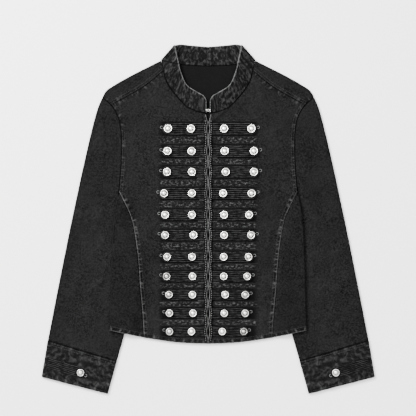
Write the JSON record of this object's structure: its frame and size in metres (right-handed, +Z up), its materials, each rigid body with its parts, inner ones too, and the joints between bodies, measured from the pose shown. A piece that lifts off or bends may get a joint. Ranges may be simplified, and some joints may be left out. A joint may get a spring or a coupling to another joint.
{
  "type": "denim jacket",
  "caption": "Cropped black denim jacket with stand collar, corded frogging and domed metal buttons, laid flat face up.",
  "frame": {"origin": "under the middle of the jacket's bounding box, on the surface that it lies on", "axes": "+X towards the wearer's left, which is the picture's right, +Y from the hem towards the collar, +Z up out of the front. Node names use the wearer's left and right."},
  "size_m": [0.6844, 0.7168, 0.0152],
  "materials": {
    "black_denim": "washed black cotton twill",
    "black_braid": "soutache braid",
    "silvered_metal": "stamped and silvered, slightly worn"
  },
  "bodies": {
    "root": {"back": "black_denim", "button_cuff_left": "silvered_metal", "button_cuff_right": "silvered_metal", "button_left_inner_01": "silvered_metal", "button_left_inner_02": "silvered_metal", "button_left_inner_03": "silvered_metal", "button_left_inner_04": "silvered_metal", "button_left_inner_05": "silvered_metal", "button_left_inner_06": "silvered_metal", "button_left_inner_07": "silvered_metal", "button_left_inner_08": "silvered_metal", "button_left_inner_09": "silvered_metal", "button_left_inner_10": "silvered_metal", "button_left_inner_11": "silvered_metal", "button_left_outer_01": "silvered_metal", "button_left_outer_02": "silvered_metal", "button_left_outer_03": "silvered_metal", "button_left_outer_04": "silvered_metal", "button_left_outer_05": "silvered_metal", "button_left_outer_06": "silvered_metal", "button_left_outer_07": "silvered_metal", "button_left_outer_08": "silvered_metal", "button_left_outer_09": "silvered_metal", "button_left_outer_10": "silvered_metal", "button_left_outer_11": "silvered_metal", "button_right_inner_01": "silvered_metal", "button_right_inner_02": "silvered_metal", "button_right_inner_03": "silvered_metal", "button_right_inner_04": "silvered_metal", "button_right_inner_05": "silvered_metal", "button_right_inner_06": "silvered_metal", "button_right_inner_07": "silvered_metal", "button_right_inner_08": "silvered_metal", "button_right_inner_09": "silvered_metal", "button_right_inner_10": "silvered_metal", "button_right_inner_11": "silvered_metal", "button_right_outer_01": "silvered_metal", "button_right_outer_02": "silvered_metal", "button_right_outer_03": "silvered_metal", "button_right_outer_04": "silvered_metal", "button_right_outer_05": "silvered_metal", "button_right_outer_06": "silvered_metal", "button_right_outer_07": "silvered_metal", "button_right_outer_08": "silvered_metal", "button_right_outer_09": "silvered_metal", "button_right_outer_10": "silvered_metal", "button_right_outer_11": "silvered_metal", "collar": "black_denim", "cuff_left": "black_denim", "cuff_right": "black_denim", "frogging_left": "black_braid", "frogging_right": "black_braid", "front_left": "black_denim", "front_right": "black_denim", "hook_and_eye": "silvered_metal", "side_left": "black_denim", "side_right": "black_denim", "sleeve_left": "black_denim", "sleeve_right": "black_denim", "yoke": "black_denim"}
  },
  "joints": []
}
